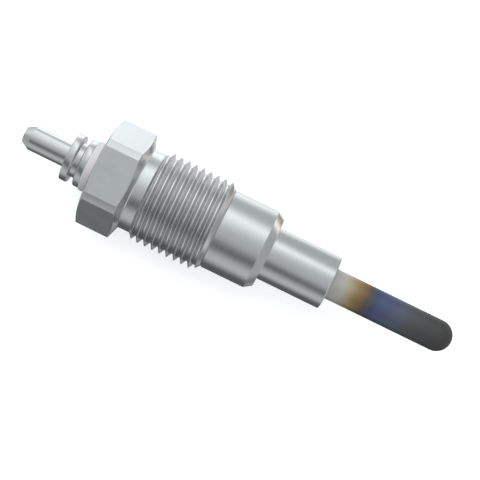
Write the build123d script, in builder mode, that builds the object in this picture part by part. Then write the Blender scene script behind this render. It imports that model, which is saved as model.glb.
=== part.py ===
# Diesel glow plug with an M18 x 1.5 housing and a sheathed heater of two coils.
# The axis lies along X with the glowing tip at +X, and one spanner flat faces straight down.
# The origin is on the axis, in the plane where the conical seat ends and the nose begins.
import os
from math import cos, pi, radians, sin, sqrt, tan

from build123d import *

os.makedirs("parts", exist_ok=True)

# Housing, outside, from the nose back to the hexagon
nose_diameter = 10.4
nose_length = 12.7
nose_edge_break = 0.2
seat_front_diameter = 13.5
seat_length = 1.5
barrel_diameter = 15.56
barrel_length = 8.85
thread_diameter = 18.0
thread_pitch = 1.5
thread_length = 14.4
shank_diameter = 15.86
shank_length = 2.4

# Hexagon, with its corners turned back to one diameter and both ends bevelled
hex_across_flats = 19.0
hex_corner_diameter = 21.06
hex_length = 7.82
hex_end_face_diameter = 18.0
hex_bevel_angle = 16.5

# Heater sheath
sheath_diameter = 6.0
sheath_wall = 0.7
sheath_projection = 24.9
sheath_length = 53.6
sheath_tip_thickness = 2.4
sheath_seat_clearance = 1.0

# Coils, both wound on one mean diameter
coil_diameter = 3.0
heating_wire = 0.5
heating_pitch = 1.1
heating_turns = 7
heating_front_leg = 1.5
heating_rear_leg = 1.6
regulating_wire = 0.4
regulating_pitch = 1.5
regulating_turns = 6
regulating_turns_on_rod = 2
regulating_front_leg = 1.4
coil_web_thickness = 1.2
wire_clearance = 0.08
wire_bend_reach = 0.3

# How finely the round wire is drawn, which keeps the coils' facets few
wire_sides = 8
wire_steps_per_turn = 16

# Centre rod and the bore round it
rod_diameter = 3.4
rod_bore_diameter = 5.0
rod_shoulder_gap = 0.6
rod_end_bevel = 0.4

# Seals
sheath_seal_length = 4.0
ring_section = 1.8
ring_corner = 0.45

# Insulating bush
bush_flange_diameter = 9.94
bush_flange_thickness = 1.86
bush_sleeve_length = 2.8
bush_edge_break = 0.25

# Ring nut
nut_diameter = 9.34
nut_thickness = 1.39
nut_shoulder_break = 0.35

# Terminal pin
neck_diameter = 6.8
neck_length = 1.16
disc_diameter = 9.36
disc_thickness = 1.47
pin_diameter = 4.8
pin_length = 7.58
pin_bevel_length = 1.59
pin_end_diameter = 2.9
terminal_bore_depth = 8.0
terminal_bore_end_gap = 0.3

# Clearance on the radius between pieces that are pressed or slid together
fit_gap = 0.03

# Thread depth of the 60 degree profile, which is also how far its ends are bevelled
thread_depth = 0.6134 * thread_pitch

# Stations along the axis, from the seat forward
seat_x = 0.0
nose_front_x = seat_x + nose_length
tip_x = nose_front_x + sheath_projection
sheath_rear_x = tip_x - sheath_length
sheath_floor_x = tip_x - sheath_tip_thickness

# Stations along the axis, from the seat back
barrel_front_x = seat_x - seat_length
thread_front_x = barrel_front_x - barrel_length
thread_rear_x = thread_front_x - thread_length
hex_front_x = thread_rear_x - shank_length
hex_rear_x = hex_front_x - hex_length
bush_rear_x = hex_rear_x - bush_flange_thickness
nut_rear_x = bush_rear_x - nut_thickness
neck_rear_x = nut_rear_x - neck_length
disc_rear_x = neck_rear_x - disc_thickness
pin_bevel_x = disc_rear_x - pin_length
pin_rear_x = pin_bevel_x - pin_bevel_length

# Bores of the housing, which the sheath, the ring and the bush share with it
sheath_bore_diameter = sheath_diameter + 2 * fit_gap
sheath_bore_rear_x = sheath_rear_x - sheath_seat_clearance
seal_bore_diameter = rod_diameter + 2 * ring_section
bush_sleeve_front_x = hex_rear_x + bush_sleeve_length
seal_bore_front_x = bush_sleeve_front_x + ring_section
rod_hole_diameter = rod_diameter + 2 * fit_gap

# Inside of the sheath, from its floor back
sheath_inner_diameter = sheath_diameter - 2 * sheath_wall
filling_diameter = sheath_inner_diameter - 2 * fit_gap
heating_front_x = sheath_floor_x - heating_front_leg
heating_rear_x = heating_front_x - heating_turns * heating_pitch
coil_joint_x = heating_rear_x - heating_rear_leg
regulating_front_x = coil_joint_x - regulating_front_leg
regulating_rear_x = regulating_front_x - regulating_turns * regulating_pitch
rod_nose_front_x = regulating_rear_x + regulating_turns_on_rod * regulating_pitch
rod_nose_rear_x = regulating_rear_x - regulating_wire / 2 - rod_shoulder_gap
rod_nose_diameter = coil_diameter - regulating_wire - 4 * fit_gap
filling_rear_x = sheath_rear_x + sheath_seal_length
rod_rear_x = nut_rear_x - terminal_bore_depth + terminal_bore_end_gap


def turned_section(*corners):
    """Half section of a turned piece, from its corners as (place along the axis, radius)."""
    with BuildSketch(Plane.XY) as section:
        with BuildLine():
            Polyline(*corners, close=True)
        make_face()
    return section.sketch


def bored_section(front_x, rear_x, diameter):
    """Half section of a plain round bore between two places along the axis."""
    return turned_section((front_x, 0), (front_x, diameter / 2), (rear_x, diameter / 2), (rear_x, 0))


def ring_section_between(front_x, rear_x, outer_diameter, inner_diameter):
    """Half section of a plain ring between two places along the axis."""
    return turned_section(
        (front_x, inner_diameter / 2),
        (front_x, outer_diameter / 2),
        (rear_x, outer_diameter / 2),
        (rear_x, inner_diameter / 2),
    )


def round_edges(piece, x, diameter):
    """The round edges of a turned piece at one place along the axis and one diameter."""
    return (
        piece.edges()
        .filter_by(GeomType.CIRCLE)
        .filter_by(lambda edge: abs(edge.arc_center.X - x) < 1e-4 and abs(2 * edge.radius - diameter) < 1e-4)
    )


def wire_centres(front_x, pitch, turns, front_leg, rear_leg):
    """Points down the middle of a coil's wire, from the front back, with each leg's bend cut across."""
    def on_helix(step):
        angle = 2 * pi * step / wire_steps_per_turn
        along = front_x - pitch * step / wire_steps_per_turn
        return Vector(along, coil_diameter / 2 * cos(angle), -coil_diameter / 2 * sin(angle))

    points = [on_helix(step) for step in range(turns * wire_steps_per_turn + 1)]
    forward = Vector(1, 0, 0)
    if front_leg:
        bend, inward = points[0], (points[1] - points[0]).normalized()
        points[:1] = [bend + forward * front_leg, bend + forward * wire_bend_reach, bend + inward * wire_bend_reach]
    if rear_leg:
        bend, inward = points[-1], (points[-2] - points[-1]).normalized()
        points[-1:] = [bend + inward * wire_bend_reach, bend - forward * wire_bend_reach, bend - forward * rear_leg]
    return points


def wound_wire(front_x, pitch, turns, wire, front_leg, rear_leg):
    """A coil of wire, wound backward from front_x, with a straight leg at each end that has one."""
    points = wire_centres(front_x, pitch, turns, front_leg, rear_leg)
    runs = [(after - before).normalized() for before, after in zip(points, points[1:])]
    with BuildPart() as winding:
        for centre, run_before, run_after in zip(points, runs[:1] + runs, runs + runs[-1:]):
            run = (run_before + run_after).normalized()
            outward = Vector(0, centre.Y, centre.Z)
            across = outward - run * outward.dot(run)
            with BuildSketch(Plane(origin=centre, x_dir=across, z_dir=run)):
                RegularPolygon(wire / 2, wire_sides, rotation=180 / wire_sides)
        loft(ruled=True)
    return winding


# Hexagon of the housing, with its corners turned back, then bevelled at both ends by one turned outline
hex_outline_radius = hex_across_flats / sqrt(3)
hex_bevel_slope = tan(radians(hex_bevel_angle))
hex_rear_bevel = (hex_outline_radius - hex_end_face_diameter / 2) * hex_bevel_slope
hex_front_bevel = (hex_outline_radius - shank_diameter / 2) * hex_bevel_slope

with BuildPart() as housing:
    with BuildSketch(Plane.YZ.offset(hex_rear_x)):
        RegularPolygon(hex_across_flats / 2, 6, major_radius=False)
        Circle(hex_corner_diameter / 2, mode=Mode.INTERSECT)
    extrude(amount=hex_length)
    bevelled_ends = turned_section(
        (hex_rear_x, 0),
        (hex_rear_x, hex_end_face_diameter / 2),
        (hex_rear_x + hex_rear_bevel, hex_outline_radius),
        (hex_front_x - hex_front_bevel, hex_outline_radius),
        (hex_front_x, shank_diameter / 2),
        (hex_front_x, 0),
    )
    revolve(bevelled_ends, axis=Axis.X, mode=Mode.INTERSECT)
    turned_body = turned_section(
        (hex_front_x, 0),
        (hex_front_x, shank_diameter / 2),
        (thread_rear_x, shank_diameter / 2),
        (thread_rear_x + thread_depth, thread_diameter / 2),
        (thread_front_x - thread_depth, thread_diameter / 2),
        (thread_front_x, barrel_diameter / 2),
        (barrel_front_x, barrel_diameter / 2),
        (seat_x, seat_front_diameter / 2),
        (seat_x, nose_diameter / 2),
        (nose_front_x, nose_diameter / 2),
        (nose_front_x, 0),
    )
    revolve(turned_body, axis=Axis.X)
    chamfer(round_edges(housing, nose_front_x, nose_diameter), nose_edge_break)
    revolve(bored_section(nose_front_x, sheath_bore_rear_x, sheath_bore_diameter), axis=Axis.X, mode=Mode.SUBTRACT)
    revolve(bored_section(sheath_bore_rear_x, seal_bore_front_x, rod_bore_diameter), axis=Axis.X, mode=Mode.SUBTRACT)
    revolve(bored_section(seal_bore_front_x, hex_rear_x, seal_bore_diameter), axis=Axis.X, mode=Mode.SUBTRACT)
housing.part.label = "housing"

# Sheath: a tube closed by a round tip, which is thick where the heating coil is welded into it
tip_centre_x = tip_x - sheath_diameter / 2

with BuildPart() as heater_sheath:
    with BuildSketch(Plane.XY):
        with BuildLine():
            Line((sheath_rear_x, 0), (sheath_rear_x, sheath_diameter / 2))
            Line((sheath_rear_x, sheath_diameter / 2), (tip_centre_x, sheath_diameter / 2))
            CenterArc((tip_centre_x, 0), sheath_diameter / 2, 0, 90)
            Line((tip_x, 0), (sheath_rear_x, 0))
        make_face()
    revolve(axis=Axis.X)
    revolve(bored_section(sheath_floor_x, sheath_rear_x, sheath_inner_diameter), axis=Axis.X, mode=Mode.SUBTRACT)
heater_sheath.part.label = "heater_sheath"

# Coils, which meet end to end at the joint inside the web of the filling
heating_coil = wound_wire(
    heating_front_x, heating_pitch, heating_turns, heating_wire, heating_front_leg, heating_rear_leg
)
heating_coil.part.label = "heating_coil"

regulating_coil = wound_wire(
    regulating_front_x, regulating_pitch, regulating_turns, regulating_wire, regulating_front_leg, 0
)
regulating_coil.part.label = "regulating_coil"

# Filling: pressed round the rod and both coils, with a web between the coils that the joint passes through
web_front_x = coil_joint_x + coil_web_thickness / 2
web_rear_x = coil_joint_x - coil_web_thickness / 2
web_hole_diameter = max(heating_wire, regulating_wire) + 2 * wire_clearance
heating_channel = heating_wire + 2 * wire_clearance
regulating_channel = regulating_wire + 2 * wire_clearance

with BuildPart() as magnesia_fill:
    revolve(bored_section(sheath_floor_x, filling_rear_x, filling_diameter), axis=Axis.X)
    revolve(bored_section(rod_nose_rear_x, filling_rear_x, rod_hole_diameter), axis=Axis.X, mode=Mode.SUBTRACT)
    revolve(
        bored_section(rod_nose_front_x, rod_nose_rear_x, coil_diameter + regulating_channel),
        axis=Axis.X,
        mode=Mode.SUBTRACT,
    )
    revolve(
        ring_section_between(
            web_rear_x, rod_nose_front_x, coil_diameter + regulating_channel, coil_diameter - regulating_channel
        ),
        axis=Axis.X,
        mode=Mode.SUBTRACT,
    )
    revolve(
        ring_section_between(
            sheath_floor_x, web_front_x, coil_diameter + heating_channel, coil_diameter - heating_channel
        ),
        axis=Axis.X,
        mode=Mode.SUBTRACT,
    )
    with BuildSketch(Plane.YZ.offset(web_rear_x)):
        with Locations((coil_diameter / 2, 0)):
            Circle(web_hole_diameter / 2)
    extrude(amount=coil_web_thickness, mode=Mode.SUBTRACT)
magnesia_fill.part.label = "magnesia_fill"

with BuildPart() as centre_rod:
    revolve(bored_section(rod_nose_rear_x, rod_rear_x, rod_diameter), axis=Axis.X)
    chamfer(round_edges(centre_rod, rod_rear_x, rod_diameter), rod_end_bevel)
    revolve(bored_section(rod_nose_front_x, rod_nose_rear_x, rod_nose_diameter), axis=Axis.X)
centre_rod.part.label = "centre_rod"

with BuildPart() as sheath_seal:
    revolve(
        ring_section_between(filling_rear_x, sheath_rear_x, filling_diameter, rod_hole_diameter),
        axis=Axis.X,
    )
sheath_seal.part.label = "sheath_seal"

# O-ring, drawn as it lies squeezed between the rod, the bore and the bush's sleeve
squeezed_outer_diameter = seal_bore_diameter - 2 * fit_gap

with BuildPart() as housing_seal_ring:
    revolve(
        ring_section_between(seal_bore_front_x, bush_sleeve_front_x, squeezed_outer_diameter, rod_hole_diameter),
        axis=Axis.X,
    )
    chamfer(housing_seal_ring.edges().filter_by(GeomType.CIRCLE), ring_corner)
housing_seal_ring.part.label = "housing_seal_ring"

with BuildPart() as insulating_bush:
    revolve(bored_section(hex_rear_x, bush_rear_x, bush_flange_diameter), axis=Axis.X)
    chamfer(round_edges(insulating_bush, bush_rear_x, bush_flange_diameter), bush_edge_break)
    revolve(bored_section(bush_sleeve_front_x, hex_rear_x, seal_bore_diameter - 2 * fit_gap), axis=Axis.X)
    revolve(bored_section(bush_sleeve_front_x, bush_rear_x, rod_hole_diameter), axis=Axis.X, mode=Mode.SUBTRACT)
insulating_bush.part.label = "insulating_bush"

with BuildPart() as ring_nut:
    revolve(ring_section_between(bush_rear_x, nut_rear_x, nut_diameter, rod_hole_diameter), axis=Axis.X)
    chamfer(round_edges(ring_nut, nut_rear_x, nut_diameter), nut_shoulder_break)
ring_nut.part.label = "ring_nut"

with BuildPart() as terminal_pin:
    terminal_body = turned_section(
        (nut_rear_x, 0),
        (nut_rear_x, neck_diameter / 2),
        (neck_rear_x, neck_diameter / 2),
        (neck_rear_x, disc_diameter / 2),
        (disc_rear_x, disc_diameter / 2),
        (disc_rear_x, pin_diameter / 2),
        (pin_bevel_x, pin_diameter / 2),
        (pin_rear_x, pin_end_diameter / 2),
        (pin_rear_x, 0),
    )
    revolve(terminal_body, axis=Axis.X)
    terminal_bore_rear_x = nut_rear_x - terminal_bore_depth
    revolve(bored_section(nut_rear_x, terminal_bore_rear_x, rod_hole_diameter), axis=Axis.X, mode=Mode.SUBTRACT)
terminal_pin.part.label = "terminal_pin"

export_step(housing.part, "parts/housing.step")
export_step(heater_sheath.part, "parts/heater_sheath.step")
export_step(heating_coil.part, "parts/heating_coil.step")
export_step(regulating_coil.part, "parts/regulating_coil.step")
export_step(magnesia_fill.part, "parts/magnesia_fill.step")
export_step(centre_rod.part, "parts/centre_rod.step")
export_step(sheath_seal.part, "parts/sheath_seal.step")
export_step(housing_seal_ring.part, "parts/housing_seal_ring.step")
export_step(insulating_bush.part, "parts/insulating_bush.step")
export_step(ring_nut.part, "parts/ring_nut.step")
export_step(terminal_pin.part, "parts/terminal_pin.step")
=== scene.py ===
from cmath import phase, rect
from math import ceil, cos, pi, radians, sin, sqrt, tan

import bmesh
import bpy
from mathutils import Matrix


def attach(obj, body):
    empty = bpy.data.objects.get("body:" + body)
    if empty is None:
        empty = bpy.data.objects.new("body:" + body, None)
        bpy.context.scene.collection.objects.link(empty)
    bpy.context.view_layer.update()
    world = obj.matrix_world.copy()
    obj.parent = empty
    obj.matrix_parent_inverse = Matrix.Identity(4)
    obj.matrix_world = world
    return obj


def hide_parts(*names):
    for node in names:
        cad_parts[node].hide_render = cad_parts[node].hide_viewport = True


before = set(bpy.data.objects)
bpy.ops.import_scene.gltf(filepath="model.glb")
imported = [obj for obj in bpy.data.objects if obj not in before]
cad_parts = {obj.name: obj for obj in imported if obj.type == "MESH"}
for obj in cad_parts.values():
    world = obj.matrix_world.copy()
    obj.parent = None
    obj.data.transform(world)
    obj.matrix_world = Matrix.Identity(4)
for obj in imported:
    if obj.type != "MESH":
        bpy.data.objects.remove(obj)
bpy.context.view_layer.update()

# The plug lies along X with its heated tip at +X, on one flat of its hexagon, which faces -Z.
# Lengths are millimetres until they become vertices.
# Front means towards the tip, and rear towards the terminal.
MM = 0.001

# Columns round the axis, the same number on each face of the hexagon
AROUND = 27 * 6

# Vertices nearer than the first of these, in metres, become one, and edges shorter than the second go
MERGED = 2e-7
DEGENERATE = 1e-8

# The longest step along an arc
ARC_STEP = radians(15)

# Nose, seat and barrel
NOSE_FRONT_X = 12.7
NOSE_RADIUS = 5.2
SEAT_X = 0.0
SEAT_FRONT_RADIUS = 6.75
BARREL_FRONT_X = -1.5
BARREL_RADIUS = 7.78

# Thread, an M18 x 1.5, and the shank behind it. Its flanks are 60 degrees apart, which sets how far they fall
# for each length along the axis, as a slope does for the bevel at either end.
THREAD_FRONT_X = -10.35
THREAD_REAR_X = -24.75
THREAD_PITCH = 1.5
THREAD_CREST_RADIUS = 9.0
THREAD_ROOT_RADIUS = 8.0
THREAD_CREST_X = -17.4
THREAD_FLANK_FALL = sqrt(3)
THREAD_CREST_WIDTH = 0.08
THREAD_CREST_ROUNDING = 0.09
THREAD_ROOT_ROUNDING = 0.06
THREAD_FRONT_SLOPE = 1.1
THREAD_REAR_SLOPE = 1.2
SHANK_RADIUS = 7.93

# Hexagon, with its corners turned back and both ends bevelled
HEX_FRONT_X = -27.15
HEX_REAR_X = -34.97
HEX_FLAT = 9.5
HEX_CORNER_RADIUS = 10.53
HEX_END_RADIUS = 9.0
HEX_REAR_SLOPE = tan(radians(16.5))
HEX_FRONT_SLOPE = tan(radians(19))

# Bores of the housing: round the heater tube, round the rod, and under the bush
TUBE_BORE_RADIUS = 3.03
TUBE_BORE_REAR_X = -17.0
ROD_BORE_RADIUS = 2.5
ROD_BORE_REAR_X = -30.37
BUSH_BORE_RADIUS = 3.5

# Heater tube
TIP_X = 37.6
TUBE_RADIUS = 3.0
TUBE_INSIDE_RADIUS = 2.3
TUBE_INSIDE_FRONT_X = 35.2
TUBE_REAR_X = -16.0

# Bush, nut and terminal, which all have the rod's clearance hole
ROD_HOLE_RADIUS = 1.73
BUSH_FRONT_X = -32.17
BUSH_SLEEVE_RADIUS = 3.47
BUSH_FLANGE_RADIUS = 4.97
BUSH_REAR_X = -36.83
NUT_RADIUS = 4.67
NUT_REAR_X = -38.22
NECK_RADIUS = 3.4
NECK_REAR_X = -39.38
DISC_RADIUS = 4.68
DISC_REAR_X = -40.85
PIN_RADIUS = 2.4
PIN_BEVEL_X = -48.43
PIN_END_RADIUS = 1.45
PIN_REAR_X = -50.02
TERMINAL_HOLE_REAR_X = -46.22

# Settings of a Map Range node that eases in and out, and of a Mix node that mixes colours
SMOOTHLY = {"interpolation_type": "SMOOTHSTEP"}
IN_COLOUR = {"data_type": "RGBA"}

# Most of a noise's values lie between these two
NOISE_LOW, NOISE_HIGH = 0.3, 0.7


# Colours and nodes

def linear(hex_colour):
    """A colour written as on a screen, as the linear value that a shader takes."""
    parts = [int(hex_colour[i:i + 2], 16) / 255 for i in (1, 3, 5)]
    return tuple(c / 12.92 if c <= 0.04045 else ((c + 0.055) / 1.055) ** 2.4 for c in parts) + (1.0,)


def light(*levels):
    """The linear colour of one grey level, or of a red, a green and a blue one. A level of 1 is white."""
    return (*levels, 1.0) if len(levels) == 3 else (*levels * 3, 1.0)


def add(tree, kind, inputs=(), **settings):
    """A new node with its settings and links.

    The inputs are a list in the order of the node's visible sockets, or a dictionary by their names.
    Each is a value, another node's output, or another node, which stands for its first visible output.
    """
    node = tree.nodes.new(kind)
    for name, value in settings.items():
        setattr(node, name, value)
    sockets = [socket for socket in node.inputs if socket.enabled]
    if isinstance(inputs, dict):
        sockets = [next(socket for socket in sockets if socket.name == name) for name in inputs]
        inputs = inputs.values()
    for socket, value in zip(sockets, inputs):
        if isinstance(value, bpy.types.Node):
            value = next(output for output in value.outputs if output.enabled)
        if isinstance(value, bpy.types.NodeSocket):
            tree.links.new(value, socket)
        else:
            socket.default_value = value
    return node


def lay_stops(band, stops):
    """Puts the stops of a colour ramp, each a place from 0 to 1 and a colour, in order."""
    while len(band.elements) < len(stops):
        band.elements.new(1.0)
    for element, (place, colour) in zip(band.elements, stops):
        element.position = place
        element.color = colour


def material(name):
    """A new material and its empty tree."""
    made = bpy.data.materials.new(name)
    made.use_nodes = True
    made.node_tree.nodes.clear()
    return made, made.node_tree


def millimetres(tree):
    """Where the surface is, as Object coordinates in millimetres."""
    metres = add(tree, "ShaderNodeTexCoord").outputs["Object"]
    return add(tree, "ShaderNodeVectorMath", [metres, 1 / MM], operation="SCALE")


# Materials

# The scale of each pattern is one over the real size of its marks in millimetres

def turning_marks(tree, x, strength):
    """Fine grooves round the axis, left by a lathe tool that moves on a ninth of a millimetre a turn."""
    feed = 1 / 9
    depth = 0.02 * MM
    grooves = add(tree, "ShaderNodeTexNoise", {
        "W": x, "Scale": 1 / feed, "Detail": 3.0}, noise_dimensions="1D")
    return add(tree, "ShaderNodeBump", {"Strength": strength, "Distance": depth, "Height": grooves})


def plated_steel():
    """Nickel plated steel, turned from hexagon bar.

    The turned faces are soft mirrors with faint rings round the axis. The hexagon's flats keep the grain of
    the drawn bar under the plating, so they shine less and are faintly cloudy along the axis.
    """
    made, tree = material("plated_steel")
    where = millimetres(tree)
    x = add(tree, "ShaderNodeSeparateXYZ", [where]).outputs["X"]
    flats_end, turned_start = HEX_FRONT_X - 0.95, HEX_FRONT_X - 0.75
    flats = add(tree, "ShaderNodeMapRange", [x, flats_end, turned_start, 1.0, 0.0], **SMOOTHLY)

    ring_width = 0.4
    rings = add(tree, "ShaderNodeTexNoise", {
        "W": x, "Scale": 1 / ring_width, "Detail": 4.0}, noise_dimensions="1D")
    turned_tone = add(tree, "ShaderNodeMix", [rings, linear("#D0CED0"), linear("#D5D3D4")], **IN_COLOUR)
    turned_rough = add(tree, "ShaderNodeMapRange", [rings, NOISE_LOW, NOISE_HIGH, 0.19, 0.24], **SMOOTHLY)

    # The grain is finer than a pixel, so it is drawn as clouds of 2 mm that are twice as long as wide
    cloud_width = 2.0
    drawn_out = add(tree, "ShaderNodeVectorMath", [where, (0.5, 1.0, 1.0)], operation="MULTIPLY")
    clouds = add(tree, "ShaderNodeTexNoise", {
        "Vector": drawn_out, "Scale": 1 / cloud_width, "Detail": 2.5, "Roughness": 0.6})
    grain_tone = add(tree, "ShaderNodeMix", [clouds, linear("#CAC8CB"), linear("#DCDADC")], **IN_COLOUR)
    grain_rough = add(tree, "ShaderNodeMapRange", [clouds, NOISE_LOW, NOISE_HIGH, 0.28, 0.32], **SMOOTHLY)

    shader = add(tree, "ShaderNodeBsdfPrincipled", {
        "Base Color": add(tree, "ShaderNodeMix", [flats, turned_tone, grain_tone], **IN_COLOUR),
        "Metallic": 1.0,
        "Roughness": add(tree, "ShaderNodeMix", [flats, turned_rough, grain_rough]),
        "Normal": turning_marks(tree, x, 0.25)})
    add(tree, "ShaderNodeOutputMaterial", [shader])
    return made


def bright_steel(name, roughness):
    """Nickel plated steel, turned small and fine: bright, with faint rings round the axis."""
    made, tree = material(name)
    x = add(tree, "ShaderNodeSeparateXYZ", [millimetres(tree)]).outputs["X"]
    ring_width = 0.25
    rings = add(tree, "ShaderNodeTexNoise", {
        "W": x, "Scale": 1 / ring_width, "Detail": 3.0}, noise_dimensions="1D")
    rough = add(tree, "ShaderNodeMapRange", [
        rings, NOISE_LOW, NOISE_HIGH, roughness, roughness + 0.05], **SMOOTHLY)
    shader = add(tree, "ShaderNodeBsdfPrincipled", {
        "Base Color": add(tree, "ShaderNodeMix", [rings, linear("#CFCCCE"), linear("#D6D3D4")], **IN_COLOUR),
        "Metallic": 1.0,
        "Roughness": rough,
        "Normal": turning_marks(tree, x, 0.2)})
    add(tree, "ShaderNodeOutputMaterial", [shader])
    return made


def heat_tinted_alloy():
    """Nickel chromium alloy tube, ground, then heated from its tip.

    Its oxide thickens towards the tip, which tints the pale satin metal straw, brown and blue, and ends in
    a dark grey scale that looks less like metal.
    """
    made, tree = material("nickel_alloy")
    where = millimetres(tree)
    x, y, _ = add(tree, "ShaderNodeSeparateXYZ", [where]).outputs

    # The bands lean a little and wander by up to 0.6 mm, in waves about 3 mm long
    waves_per_millimetre = 0.35
    waves = add(tree, "ShaderNodeTexNoise", {"Vector": where, "Scale": waves_per_millimetre, "Detail": 2.0})
    wandering = add(tree, "ShaderNodeMath", [waves, 1.2, -0.6], operation="MULTIPLY_ADD")
    leaning = add(tree, "ShaderNodeMath", [y, -0.06, x], operation="MULTIPLY_ADD")
    along = add(tree, "ShaderNodeMath", [leaning, wandering], operation="ADD")

    first_x, last_x = 12.0, 38.0
    tint = add(tree, "ShaderNodeValToRGB", [add(tree, "ShaderNodeMapRange", [along, first_x, last_x])])
    bands = (
        (12.5, "#D1CDCF"), (15.0, "#D1CAC3"), (16.3, "#C4B196"), (17.8, "#A88F69"), (19.0, "#95795C"),
        (20.0, "#716661"), (21.2, "#5B637C"), (22.5, "#5F668B"), (25.0, "#61677F"), (27.0, "#636674"),
        (28.5, "#5E5E63"), (31.0, "#58575A"), (33.0, "#555354"), (35.0, "#524F4F"))
    lay_stops(tint.color_ramp, [
        ((band_x - first_x) / (last_x - first_x), linear(colour)) for band_x, colour in bands])

    # Grinding marks a third of a millimetre wide, drawn coarser than the real ones so that they show
    mark_width = 1 / 3
    drawn_out = add(tree, "ShaderNodeVectorMath", [where, (0.35, 1.0, 1.0)], operation="MULTIPLY")
    marks = add(tree, "ShaderNodeTexNoise", {
        "Vector": drawn_out, "Scale": 1 / mark_width, "Detail": 3.0, "Roughness": 0.6})
    shader = add(tree, "ShaderNodeBsdfPrincipled", {
        "Base Color": tint,
        "Metallic": add(tree, "ShaderNodeMapRange", [x, 19.0, 31.0, 1.0, 0.75], **SMOOTHLY),
        "Roughness": add(tree, "ShaderNodeMapRange", [x, 13.0, 24.0, 0.62, 0.48], **SMOOTHLY),
        "Normal": add(tree, "ShaderNodeBump", {"Strength": 0.12, "Distance": 0.02 * MM, "Height": marks})})
    add(tree, "ShaderNodeOutputMaterial", [shader])
    return made


def moulded(name, first, second, roughness):
    """A piece formed in a mould or a die: filled thermoset plastic, rubber, or pressed magnesia powder.

    It has no tool marks, only a faint mottle and a fine grain that dulls its shine.
    """
    made, tree = material(name)
    where = millimetres(tree)
    mottle_width, grain_width = 1.25, 1 / 6
    mottle = add(tree, "ShaderNodeTexNoise", {"Vector": where, "Scale": 1 / mottle_width, "Detail": 3.0})
    grain = add(tree, "ShaderNodeTexNoise", {"Vector": where, "Scale": 1 / grain_width, "Detail": 2.0})
    rough = add(tree, "ShaderNodeMapRange", [
        grain, NOISE_LOW, NOISE_HIGH, roughness, roughness + 0.08], **SMOOTHLY)
    shader = add(tree, "ShaderNodeBsdfPrincipled", {
        "Base Color": add(tree, "ShaderNodeMix", [mottle, linear(first), linear(second)], **IN_COLOUR),
        "Roughness": rough,
        "Normal": add(tree, "ShaderNodeBump", {"Strength": 0.2, "Distance": 0.03 * MM, "Height": grain})})
    add(tree, "ShaderNodeOutputMaterial", [shader])
    return made


def drawn_wire():
    """Nickel chromium resistance wire, drawn through dies: warm grey, with fine streaks."""
    made, tree = material("resistance_wire")
    streak_width = 0.2
    streaks = add(tree, "ShaderNodeTexNoise", {
        "Vector": millimetres(tree), "Scale": 1 / streak_width, "Detail": 3.0})
    tone = add(tree, "ShaderNodeMix", [streaks, linear("#9C9488"), linear("#B4ACA0")], **IN_COLOUR)
    rough = add(tree, "ShaderNodeMapRange", [streaks, NOISE_LOW, NOISE_HIGH, 0.3, 0.42], **SMOOTHLY)
    shader = add(tree, "ShaderNodeBsdfPrincipled", {"Base Color": tone, "Metallic": 1.0, "Roughness": rough})
    add(tree, "ShaderNodeOutputMaterial", [shader])
    return made


# Meshes

def rounded(corners):
    """The points (x, r) of an outline. A corner is (x, r), or (x, r, radius) to become an arc."""
    points = []
    for index, (x, r, *radius) in enumerate(corners):
        if not radius:
            points.append((x, r))
            continue
        corner = complex(x, r)
        back = complex(*corners[index - 1][:2]) - corner
        onward = complex(*corners[(index + 1) % len(corners)][:2]) - corner
        turn = phase(-onward / back)
        slope = tan(turn / 2)

        # The arc starts and ends short of both sides' middles, with a smaller radius where it has to
        room = 0.49 * min(abs(back), abs(onward))
        reach = min(radius[0] * abs(slope), room)
        start = corner + reach * back / abs(back)
        centre = start - reach / slope * 1j * back / abs(back)
        steps = max(2, ceil(abs(turn) / ARC_STEP))
        arc = [centre + (start - centre) * rect(1, turn * step / steps) for step in range(steps + 1)]
        points += [(point.real, point.imag) for point in arc]
    return points


def ring_mesh(name, rings, closed_loop=False):
    """A mesh of rings round the axis, each joined to the next.

    A ring is one point (x, r), or a list of points, one for each column.
    """
    bm = bmesh.new()
    rows = []
    for ring in rings:
        row = []
        for column in range(AROUND):
            x, r = ring[column] if isinstance(ring, list) else ring
            angle = 2 * pi * column / AROUND
            row.append(bm.verts.new((x * MM, r * cos(angle) * MM, r * sin(angle) * MM)))
        rows.append(row)
    pairs = list(zip(rows, rows[1:]))
    if closed_loop:
        pairs.append((rows[-1], rows[0]))
    for lower, upper in pairs:
        for column in range(AROUND):
            after = (column + 1) % AROUND
            bm.faces.new((lower[column], lower[after], upper[after], upper[column]))
    mesh = bpy.data.meshes.new(name)
    bm.to_mesh(mesh)
    bm.free()
    return mesh


def closed_piece(name, meshes, surface, is_sharp=None):
    """One closed object from meshes that meet, facing outwards and smooth but for its sharp edges."""
    bm = bmesh.new()
    for mesh in meshes:
        bm.from_mesh(mesh)
        bpy.data.meshes.remove(mesh)
    bmesh.ops.remove_doubles(bm, verts=bm.verts, dist=MERGED)
    bmesh.ops.dissolve_degenerate(bm, edges=bm.edges, dist=DEGENERATE)
    bmesh.ops.recalc_face_normals(bm, faces=bm.faces)
    for face in bm.faces:
        face.smooth = True
        face.material_index = 0
    for edge in bm.edges:
        edge.smooth = not (is_sharp and is_sharp(edge))
    mesh = bpy.data.meshes.new(name)
    bm.to_mesh(mesh)
    bm.free()
    mesh.materials.clear()
    mesh.materials.append(surface)

    # Large faces keep their own normal, so that light runs evenly over the narrow roundings beside them
    piece = bpy.data.objects.new(name, mesh)
    bpy.context.scene.collection.objects.link(piece)
    weigh = piece.modifiers.new("weigh", "WEIGHTED_NORMAL")
    weigh.keep_sharp = True
    weighed = bpy.data.meshes.new_from_object(piece.evaluated_get(bpy.context.evaluated_depsgraph_get()))
    piece.modifiers.remove(weigh)
    piece.data = weighed
    weighed.name = name
    return piece


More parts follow.
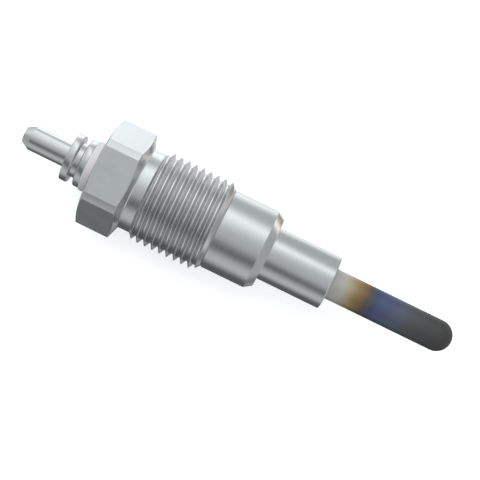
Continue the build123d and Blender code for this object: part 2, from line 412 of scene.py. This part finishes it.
def turned_piece(name, corners, surface, closed_loop=False):
    """A piece turned from an outline, which starts and ends on the axis or is a closed loop."""
    return closed_piece(name, [ring_mesh(name + "_turned", rounded(corners), closed_loop)], surface)


# Thread

def thread_nodes():
    """Geometry Nodes that bend a grid into the thread, so that the grid's rows run along its helix.

    Gives the tree, and each input's identifier by its name.
    """
    tree = bpy.data.node_groups.new("helical_thread", "GeometryNodeTree")
    sizes = (
        "Pitch", "Crest X", "Crest Radius", "Crest Width", "Crest Rounding",
        "Flank Fall", "Root Radius", "Root Rounding",
        "Rear X", "Rear Radius", "Rear Slope", "Front X", "Front Radius", "Front Slope")
    kinds = {name: "NodeSocketFloat" for name in sizes}
    kinds.update({"Columns": "NodeSocketInt", "Rows": "NodeSocketInt", "Material": "NodeSocketMaterial"})
    identifiers = {}
    for name, kind in kinds.items():
        identifiers[name] = tree.interface.new_socket(name, in_out="INPUT", socket_type=kind).identifier
    tree.interface.new_socket("Geometry", in_out="OUTPUT", socket_type="NodeSocketGeometry")
    given = add(tree, "NodeGroupInput").outputs

    # The grid is one unit square: X is the way along the thread, and Y the turn round it
    row_ends = add(tree, "ShaderNodeMath", [given["Rows"], 1.0], operation="ADD")
    column_ends = add(tree, "ShaderNodeMath", [given["Columns"], 1.0], operation="ADD")
    grid = add(tree, "GeometryNodeMeshGrid", [1.0, 1.0, row_ends, column_ends])
    grid_x, grid_y, _ = add(tree, "ShaderNodeSeparateXYZ", [add(tree, "GeometryNodeInputPosition")]).outputs
    along = add(tree, "ShaderNodeMath", [grid_x, 0.5], operation="ADD")
    turn = add(tree, "ShaderNodeMath", [grid_y, 0.5], operation="ADD")

    # Every row climbs a pitch in its one turn, and is held between the thread's ends
    length = add(tree, "ShaderNodeMath", [given["Front X"], given["Rear X"]], operation="SUBTRACT")
    span = add(tree, "ShaderNodeMath", [length, given["Pitch"]], operation="ADD")
    last_turn = add(tree, "ShaderNodeMath", [turn, 1.0], operation="SUBTRACT")
    start = add(tree, "ShaderNodeMath", [
        given["Pitch"], last_turn, given["Rear X"]], operation="MULTIPLY_ADD")
    free_x = add(tree, "ShaderNodeMath", [along, span, start], operation="MULTIPLY_ADD")
    x = add(tree, "ShaderNodeClamp", [free_x, given["Rear X"], given["Front X"]])

    # Distance along the axis from the nearest crest
    climbed = add(tree, "ShaderNodeMath", [turn, given["Pitch"]], operation="MULTIPLY")
    crest_x = add(tree, "ShaderNodeMath", [given["Crest X"], climbed], operation="ADD")
    past_crest = add(tree, "ShaderNodeMath", [x, crest_x], operation="SUBTRACT")
    half_pitch = add(tree, "ShaderNodeMath", [given["Pitch"], 0.5], operation="MULTIPLY")
    from_crest = add(tree, "ShaderNodeMath", [past_crest, half_pitch], operation="PINGPONG")

    # Flanks fall away from the crest's narrow flat and are rounded into the crest and the root
    down_flank = add(tree, "ShaderNodeMath", [
        given["Crest Width"], -0.5, from_crest], operation="MULTIPLY_ADD")
    fall = add(tree, "ShaderNodeMath", [down_flank, given["Flank Fall"]], operation="MULTIPLY")
    flank = add(tree, "ShaderNodeMath", [given["Crest Radius"], fall], operation="SUBTRACT")
    blunt = add(tree, "ShaderNodeMath", [
        flank, given["Crest Radius"], given["Crest Rounding"]], operation="SMOOTH_MIN")
    thread = add(tree, "ShaderNodeMath", [
        blunt, given["Root Radius"], given["Root Rounding"]], operation="SMOOTH_MAX")

    # Both ends are bevelled down to the plain radius beside them
    from_rear = add(tree, "ShaderNodeMath", [x, given["Rear X"]], operation="SUBTRACT")
    rear_bevel = add(tree, "ShaderNodeMath", [
        from_rear, given["Rear Slope"], given["Rear Radius"]], operation="MULTIPLY_ADD")
    to_front = add(tree, "ShaderNodeMath", [given["Front X"], x], operation="SUBTRACT")
    front_bevel = add(tree, "ShaderNodeMath", [
        to_front, given["Front Slope"], given["Front Radius"]], operation="MULTIPLY_ADD")
    bevelled = add(tree, "ShaderNodeMath", [thread, rear_bevel], operation="MINIMUM")
    radius = add(tree, "ShaderNodeMath", [bevelled, front_bevel], operation="MINIMUM")

    angle = add(tree, "ShaderNodeMath", [turn, 2 * pi], operation="MULTIPLY")
    y = add(tree, "ShaderNodeMath", [radius, add(tree, "ShaderNodeMath", [angle], operation="COSINE")],
            operation="MULTIPLY")
    z = add(tree, "ShaderNodeMath", [radius, add(tree, "ShaderNodeMath", [angle], operation="SINE")],
            operation="MULTIPLY")
    bent = add(tree, "ShaderNodeCombineXYZ", [x, y, z])
    in_metres = add(tree, "ShaderNodeVectorMath", [bent, MM], operation="SCALE")
    placed = add(tree, "GeometryNodeSetPosition", {"Geometry": grid, "Position": in_metres})
    merged = add(tree, "GeometryNodeMergeByDistance", {"Geometry": placed, "Distance": MERGED})
    real = add(tree, "GeometryNodeRealizeInstances", [merged])
    painted = add(tree, "GeometryNodeSetMaterial", {"Geometry": real, "Material": given["Material"]})
    add(tree, "NodeGroupOutput", [painted])
    return tree, identifiers


def thread_mesh(surface):
    """The thread as a plain mesh, open at both ends."""
    tree, identifiers = thread_nodes()
    rows_per_pitch = 40
    pitches = (THREAD_FRONT_X - THREAD_REAR_X) / THREAD_PITCH + 1
    holder = bpy.data.objects.new("thread_holder", bpy.data.meshes.new("thread_holder"))
    bpy.context.scene.collection.objects.link(holder)
    wound = holder.modifiers.new("wound", "NODES")
    wound.node_group = tree
    for name, value in (
        ("Pitch", THREAD_PITCH), ("Crest X", THREAD_CREST_X), ("Crest Radius", THREAD_CREST_RADIUS),
        ("Crest Width", THREAD_CREST_WIDTH), ("Crest Rounding", THREAD_CREST_ROUNDING),
        ("Flank Fall", THREAD_FLANK_FALL), ("Root Radius", THREAD_ROOT_RADIUS),
        ("Root Rounding", THREAD_ROOT_ROUNDING),
        ("Rear X", THREAD_REAR_X), ("Rear Radius", SHANK_RADIUS), ("Rear Slope", THREAD_REAR_SLOPE),
        ("Front X", THREAD_FRONT_X), ("Front Radius", BARREL_RADIUS), ("Front Slope", THREAD_FRONT_SLOPE),
        ("Columns", AROUND), ("Rows", round(rows_per_pitch * pitches)), ("Material", surface),
    ):
        wound[identifiers[name]] = value
    mesh = bpy.data.meshes.new_from_object(holder.evaluated_get(bpy.context.evaluated_depsgraph_get()))
    holder.modifiers.remove(wound)
    bpy.data.objects.remove(holder)
    return mesh


# Housing: one closed mesh of the thread and the rings in front of it and behind it

def hexagon_radius(column):
    """Radius of the hexagon with its corners turned back, in the direction of one column."""
    from_flat = 360 * column / AROUND % 60 - 30
    return min(HEX_CORNER_RADIUS, HEX_FLAT / cos(radians(from_flat)))


def hexagon_and_shank():
    """Rings from the bush's bore over the hexagon and along the shank to the thread."""
    outline = [hexagon_radius(column) for column in range(AROUND)]
    rear_edge = [(HEX_REAR_X + (r - HEX_END_RADIUS) * HEX_REAR_SLOPE, r) for r in outline]
    front_edge = [(HEX_FRONT_X - (r - SHANK_RADIUS) * HEX_FRONT_SLOPE, r) for r in outline]
    broken = 0.05
    end_face_middle = 6.0
    rings = [
        (HEX_REAR_X, BUSH_BORE_RADIUS),
        (HEX_REAR_X, end_face_middle),
        (HEX_REAR_X, HEX_END_RADIUS - broken),
        (HEX_REAR_X + broken * HEX_REAR_SLOPE, HEX_END_RADIUS + broken),
        [(x - broken * HEX_REAR_SLOPE, r - broken) for x, r in rear_edge],
        [(x + broken, r) for x, r in rear_edge]]
    for share in (0.25, 0.75):
        rings.append([
            (x + (front_x - x) * share, r) for (x, r), (front_x, _) in zip(rear_edge, front_edge)])
    rings += [
        [(x - broken, r) for x, r in front_edge],
        [(x + broken * HEX_FRONT_SLOPE, r - broken) for x, r in front_edge]]

    # A fillet joins the hexagon's front bevel to the shank
    fillet, up_bevel = 0.4, 1.2
    shank = rounded([
        (HEX_FRONT_X - up_bevel * HEX_FRONT_SLOPE, SHANK_RADIUS + up_bevel),
        (HEX_FRONT_X, SHANK_RADIUS, fillet),
        (THREAD_REAR_X, SHANK_RADIUS)])
    return rings + shank[1:]


def barrel_to_bores():
    """Rings from the thread along the barrel, over the seat and the nose, and back through the bores."""
    groove = [(THREAD_FRONT_X + along, BARREL_RADIUS - deep) for along, deep in (
        (0.0, 0.0), (0.02, 0.03), (0.10, 0.2), (0.12, 0.2), (0.20, 0.03), (0.22, 0.0), (0.24, 0.0))]
    seat_edge, seat_step, nose_root, nose_edge, bore_edge = 0.12, 0.08, 0.12, 0.22, 0.06
    return rounded(groove + [
        (BARREL_FRONT_X, BARREL_RADIUS, seat_edge),
        (SEAT_X, SEAT_FRONT_RADIUS, seat_step),
        (SEAT_X, NOSE_RADIUS, nose_root),
        (NOSE_FRONT_X, NOSE_RADIUS, nose_edge),
        (NOSE_FRONT_X, TUBE_BORE_RADIUS, bore_edge),
        (TUBE_BORE_REAR_X, TUBE_BORE_RADIUS), (TUBE_BORE_REAR_X, ROD_BORE_RADIUS),
        (ROD_BORE_REAR_X, ROD_BORE_RADIUS), (ROD_BORE_REAR_X, BUSH_BORE_RADIUS),
        (HEX_REAR_X, BUSH_BORE_RADIUS)])


def is_hexagon_edge(edge):
    """Whether an edge is a sharp one in the hexagon's length, on its outside or in its bores."""
    x = (edge.verts[0].co.x + edge.verts[1].co.x) / 2 / MM
    past_fillet, sharp_angle = 0.3, radians(20)
    return x < HEX_FRONT_X + past_fillet and edge.calc_face_angle(0) > sharp_angle


def housing():
    plated = plated_steel()
    meshes = [
        ring_mesh("rear_turned", hexagon_and_shank()),
        thread_mesh(plated),
        ring_mesh("front_turned", barrel_to_bores())]
    return closed_piece("housing_body", meshes, plated, is_hexagon_edge)


housing_piece = housing()
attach(housing_piece, "root")
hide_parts("housing")


# Heater tube, closed by its round tip

def heater_tube():
    rear_edge = 0.15
    tint_from_x, tint_middle_x = 12.0, 24.0
    tip_centre_x = TIP_X - TUBE_RADIUS
    tip = [(tip_centre_x + TUBE_RADIUS * sin(radians(angle)), TUBE_RADIUS * cos(radians(angle)))
           for angle in range(0, 90, 6)]
    return turned_piece("heater_tube", [
        (TUBE_INSIDE_FRONT_X, 0), (TUBE_INSIDE_FRONT_X, TUBE_INSIDE_RADIUS),
        (TUBE_REAR_X, TUBE_INSIDE_RADIUS), (TUBE_REAR_X, TUBE_RADIUS, rear_edge),
        (tint_from_x, TUBE_RADIUS), (tint_middle_x, TUBE_RADIUS), *tip, (TIP_X, 0)], heat_tinted_alloy())


sheath = heater_tube()
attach(sheath, "root")
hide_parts("heater_sheath")


# Insulating bush: a flange on the hexagon's end face and a sleeve inside it

def insulating_bush():
    front_edge, flange_edge, rear_edge = 0.1, 0.06, 0.25
    return turned_piece("bush", [
        (BUSH_FRONT_X, ROD_HOLE_RADIUS), (BUSH_FRONT_X, BUSH_SLEEVE_RADIUS, front_edge),
        (HEX_REAR_X, BUSH_SLEEVE_RADIUS), (HEX_REAR_X, BUSH_FLANGE_RADIUS, flange_edge),
        (BUSH_REAR_X, BUSH_FLANGE_RADIUS, rear_edge), (BUSH_REAR_X, ROD_HOLE_RADIUS),
    ], moulded("moulded_insulator", "#D1CBCD", "#D8D2D4", 0.42), closed_loop=True)


bush = insulating_bush()
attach(bush, "root")
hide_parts("insulating_bush")


# Ring nut with a rounded shoulder

def ring_nut(steel):
    front_edge, shoulder = 0.08, 0.45
    return turned_piece("nut", [
        (BUSH_REAR_X, ROD_HOLE_RADIUS), (BUSH_REAR_X, NUT_RADIUS, front_edge),
        (NUT_REAR_X, NUT_RADIUS, shoulder), (NUT_REAR_X, ROD_HOLE_RADIUS)], steel, closed_loop=True)


steel = bright_steel("bright_steel", 0.2)
nut = ring_nut(steel)
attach(nut, "root")
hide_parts("ring_nut")


# Terminal: neck, disc and bevelled pin

def terminal_pin(steel):
    neck_edge, edge, disc_front_edge, bevel_edge, end_edge = 0.05, 0.12, 0.2, 0.25, 0.1
    return turned_piece("terminal", [
        (TERMINAL_HOLE_REAR_X, 0), (TERMINAL_HOLE_REAR_X, ROD_HOLE_RADIUS), (NUT_REAR_X, ROD_HOLE_RADIUS),
        (NUT_REAR_X, NECK_RADIUS, neck_edge), (NECK_REAR_X, NECK_RADIUS, edge),
        (NECK_REAR_X, DISC_RADIUS, disc_front_edge), (DISC_REAR_X, DISC_RADIUS, edge),
        (DISC_REAR_X, PIN_RADIUS, edge), (PIN_BEVEL_X, PIN_RADIUS, bevel_edge),
        (PIN_REAR_X, PIN_END_RADIUS, end_edge), (PIN_REAR_X, 0)], steel)


terminal = terminal_pin(steel)
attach(terminal, "root")
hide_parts("terminal_pin")

# Sealed pieces, which keep their CAD shape
wire = drawn_wire()
rod_steel = bright_steel("rod_steel", 0.28)
rubber = moulded("seal_rubber", "#151515", "#1E1E1F", 0.6)
powder = moulded("magnesia", "#DDDAD2", "#E6E4DD", 0.75)
for node, surface, slot in (
    ("heating_coil", wire, "resistance_wire"), ("regulating_coil", wire, "resistance_wire"),
    ("magnesia_fill", powder, "magnesia"), ("centre_rod", rod_steel, "bright_steel"),
    ("sheath_seal", rubber, "seal_rubber"), ("housing_seal_ring", rubber, "seal_rubber"),
):
    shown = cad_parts[node]
    shown.data.materials.clear()
    shown.data.materials.append(surface)


# Light

# Metal mirrors a soft studio, given as a level for each direction. Tipward is a direction's X and upward
# its Z. Turn is its angle round the plug in degrees: 0 overhead, and underneath -180 by the +Y side or 180 by
# the -Y side.

def levels_round_axis(tree, turn, levels):
    """Levels at angles round the plug, each an angle with one grey or with red, green and blue."""
    panels = add(tree, "ShaderNodeValToRGB", [add(tree, "ShaderNodeMapRange", [turn, -180.0, 180.0])])
    lay_stops(panels.color_ramp, [(0.5 + angle / 360, light(*level)) for angle, *level in levels])
    return panels


def with_panel(tree, level, colour, *edges):
    """The level with a soft panel over it.

    Each edge is a value, with where along it the panel starts and where it is full.
    """
    cover = 1.0
    for value, start, full in edges:
        share = add(tree, "ShaderNodeMapRange", [value, start, full], **SMOOTHLY)
        cover = add(tree, "ShaderNodeMath", [share, cover], operation="MULTIPLY")
    return add(tree, "ShaderNodeMix", [cover, level, colour], **IN_COLOUR)


def beside_plug(tree, tipward, turn):
    """What the plug's cylinders mirror: a panel high on the +Y side, one low on it, and a dark -Y side."""
    # The panels stand a little askew to the plug, so their angle round it changes from end to end
    skew = 0.0
    for low, high, low_skew, high_skew in (
        (-112, -92, -210, 0), (-60, -15, 110, -20), (-10, 0, 0, 20), (2, 20, 0, 48), (70, 90, 0, -48),
    ):
        more = add(tree, "ShaderNodeMapRange", [turn, low, high, low_skew, high_skew], **SMOOTHLY)
        skew = add(tree, "ShaderNodeMath", [more, skew], operation="ADD")
    end_on = add(tree, "ShaderNodeClamp", [tipward, -0.3, 0.3])
    askew = add(tree, "ShaderNodeMath", [end_on, skew], operation="MULTIPLY")
    panels = levels_round_axis(tree, add(tree, "ShaderNodeMath", [turn, askew], operation="SUBTRACT"), (
        (-180, 0.5), (-166, 0.9), (-150, 1.15), (-136, 1.38), (-123, 1.12), (-112, 0.66), (-100, 0.60),
        (-88, 0.60), (-72, 0.62), (-62, 1.0), (-53, 1.52), (-45, 1.47), (-32, 1.13), (-14, 0.73), (0, 0.57),
        (10, 0.55), (18, 0.50), (25, 0.43), (34, 0.25), (43, 0.14), (52, 0.17), (60, 0.30), (68, 0.50),
        (86, 0.62), (97, 0.56), (105, 0.38), (115, 0.20), (124, 0.12), (165, 0.12), (176, 0.25), (180, 0.5)))

    # Both bright panels are brighter towards the terminal, where the high one then fades
    low_gain = add(tree, "ShaderNodeMapRange", [tipward, -0.14, 0.08, 1.20, 0.83], **SMOOTHLY)
    near_gain = add(tree, "ShaderNodeMapRange", [tipward, -0.04, 0.08, 1.0, 0.83], **SMOOTHLY)
    fading = add(tree, "ShaderNodeMapRange", [tipward, -0.30, -0.19, 0.55, 1.0], **SMOOTHLY)
    high_gain = add(tree, "ShaderNodeMath", [near_gain, fading], operation="MULTIPLY")
    past_low_panel = add(tree, "ShaderNodeMapRange", [turn, -100, -90], **SMOOTHLY)
    past_high_panel = add(tree, "ShaderNodeMapRange", [turn, -25, -5], **SMOOTHLY)
    gain = add(tree, "ShaderNodeMix", [past_low_panel, low_gain, high_gain])
    gain = add(tree, "ShaderNodeMix", [past_high_panel, gain, 1.0])
    return add(tree, "ShaderNodeVectorMath", [panels, gain], operation="SCALE")


def towards_tip(tree, level, tipward, turn, upward):
    """What the bevels that face the tip mirror: a warm panel low on the +Y side and a strip overhead."""
    ahead = levels_round_axis(tree, turn, (
        (-180, 0.33), (-160, 0.29, 0.275, 0.265), (-152, 0.38, 0.35, 0.33), (-140, 0.48, 0.43, 0.40),
        (-130, 0.70, 0.64, 0.59), (-122, 1.35, 1.21, 1.12), (-113, 1.60, 1.43, 1.34), (-100, 0.64),
        (-75, 0.44), (0, 0.38), (75, 0.40), (89, 0.46), (109, 0.48), (122, 0.34), (138, 0.18), (149, 0.33),
        (157, 0.40), (180, 0.33)))
    near = add(tree, "ShaderNodeMapRange", [tipward, 0.18, 0.32], **SMOOTHLY)
    level = add(tree, "ShaderNodeMix", [near, level, ahead], **IN_COLOUR)
    level = with_panel(
        tree, level, light(0.80, 0.74, 0.71),
        (tipward, 0.24, 0.30), (tipward, 0.50, 0.42), (turn, -142, -132), (turn, -98, -108))
    level = with_panel(
        tree, level, light(1.25),
        (tipward, 0.22, 0.32), (tipward, 0.54, 0.44), (turn, -16, 0), (turn, 74, 58))
    level = with_panel(tree, level, light(0.48), (tipward, 0.70, 0.88))

    # Seen from the end, the turned faces show a bright panel, a dark one beside it and a grey floor
    for grey, start, full, far_full, far_start in ((1.15, -78, -58, -34, -14), (0.22, 8, 24, 50, 70)):
        level = with_panel(
            tree, level, light(grey),
            (tipward, 0.64, 0.70), (tipward, 0.82, 0.75), (turn, start, full), (turn, far_start, far_full))
    return with_panel(tree, level, light(0.72), (tipward, 0.78, 0.86), (upward, -0.04, -0.20))


def towards_terminal(tree, level, tipward, turn):
    """What the faces that look to the terminal mirror: a bright panel, a dark one and a light +Y side."""
    behind = levels_round_axis(tree, turn, (
        (-180, 0.52), (-118, 0.82), (-91, 1.0), (-64, 0.95), (-33, 0.81), (0, 0.53), (30, 0.47), (64, 0.42),
        (91, 0.46), (118, 0.53), (180, 0.50)))
    near = add(tree, "ShaderNodeMapRange", [tipward, -0.6, -0.25, 1.0, 0.0], **SMOOTHLY)
    level = add(tree, "ShaderNodeMix", [near, level, behind], **IN_COLOUR)
    for grey, start, full, far_full, far_start in ((1.2, -70, -50, -26, -6), (0.24, 10, 26, 50, 66)):
        level = with_panel(
            tree, level, light(grey),
            (tipward, -0.48, -0.58), (tipward, -0.86, -0.76),
            (turn, start, full), (turn, far_start, far_full))
    return level


def studio():
    """The world: soft panels that light the plug and show in its metal. The camera sees plain white."""
    world = bpy.data.worlds.new("studio")
    bpy.context.scene.world = world
    world.use_nodes = True
    tree = world.node_tree
    tree.nodes.clear()
    direction = add(tree, "ShaderNodeTexCoord").outputs["Generated"]
    tipward, sideways, upward = add(tree, "ShaderNodeSeparateXYZ", [direction]).outputs
    leftward = add(tree, "ShaderNodeMath", [sideways, -1.0], operation="MULTIPLY")
    turn = add(tree, "ShaderNodeMath", [
        add(tree, "ShaderNodeMath", [leftward, upward], operation="ARCTAN2")], operation="DEGREES")

    level = beside_plug(tree, tipward, turn)
    level = towards_tip(tree, level, tipward, turn, upward)
    level = towards_terminal(tree, level, tipward, turn)
    cool_tint = light(1.01, 1.09, 1.08)
    cool = add(tree, "ShaderNodeMix", [1.0, level, cool_tint], blend_type="MULTIPLY", **IN_COLOUR)
    lit = add(tree, "ShaderNodeBackground", [cool, 1.0])
    white = add(tree, "ShaderNodeBackground", [light(1.0), 1.0])
    camera_sees = add(tree, "ShaderNodeLightPath").outputs["Is Camera Ray"]
    add(tree, "ShaderNodeOutputWorld", [add(tree, "ShaderNodeMixShader", [camera_sees, lit, white])])


def soft_lamp():
    """A large soft lamp above the terminal end on the +Y side, which metal doesn't show."""
    lamp = bpy.data.lights.new("soft_lamp", "AREA")
    lamp.size = 0.25
    lamp.energy = 0.64
    lamp.color = (0.94, 0.99, 1.0)
    hung = bpy.data.objects.new("soft_lamp", lamp)
    bpy.context.scene.collection.objects.link(hung)
    hung.location = (-0.08, 0.165, 0.30)
    hung.rotation_euler = (-hung.location).to_track_quat("-Z", "Y").to_euler()
    hung.visible_glossy = False
    hung.visible_camera = False


def paper_floor():
    """Matt white paper, rolled smooth, so it has no shine and keeps a soft shadow.

    Metal mirrors the studio through it, as a plug hung in the open would.
    """
    made, tree = material("paper_floor")
    path = add(tree, "ShaderNodeLightPath").outputs
    paper = add(tree, "ShaderNodeBsdfDiffuse", [linear("#F2F3F4")])
    strength = add(tree, "ShaderNodeMath", [path["Is Camera Ray"], 0.55], operation="MULTIPLY")
    glow = add(tree, "ShaderNodeEmission", [light(1.0), strength])
    brightened = add(tree, "ShaderNodeAddShader", [paper, glow])
    clear = add(tree, "ShaderNodeBsdfTransparent")
    mixed = add(tree, "ShaderNodeMixShader", [path["Is Glossy Ray"], brightened, clear])
    add(tree, "ShaderNodeOutputMaterial", [mixed])
    return made


def floor():
    """A wide floor, in metres, just under the flat that the plug lies on, so that the two don't coincide."""
    reach = 1.5
    low = -(HEX_FLAT + 0.02) * MM
    mesh = bpy.data.meshes.new("floor")
    corners = [(-reach, -reach, low), (reach, -reach, low), (reach, reach, low), (-reach, reach, low)]
    mesh.from_pydata(corners, [], [(0, 1, 2, 3)])
    mesh.materials.append(paper_floor())
    ground = bpy.data.objects.new("floor", mesh)
    bpy.context.scene.collection.objects.link(ground)


def camera():
    """A camera that looks straight down, turned so that the plug's tip is at the lower right."""
    eye = bpy.data.objects.new("camera", bpy.data.cameras.new("camera"))
    bpy.context.scene.collection.objects.link(eye)
    eye.location = (-5.74 * MM, -0.16 * MM, 246.7 * MM)
    eye.rotation_euler = (0, 0, radians(26.05))
    eye.data.lens = 100
    eye.data.sensor_width = 36
    eye.data.clip_start = 0.01
    eye.data.clip_end = 20
    bpy.context.scene.camera = eye


studio()
soft_lamp()
floor()
camera()
bpy.context.scene.view_settings.view_transform = "Standard"
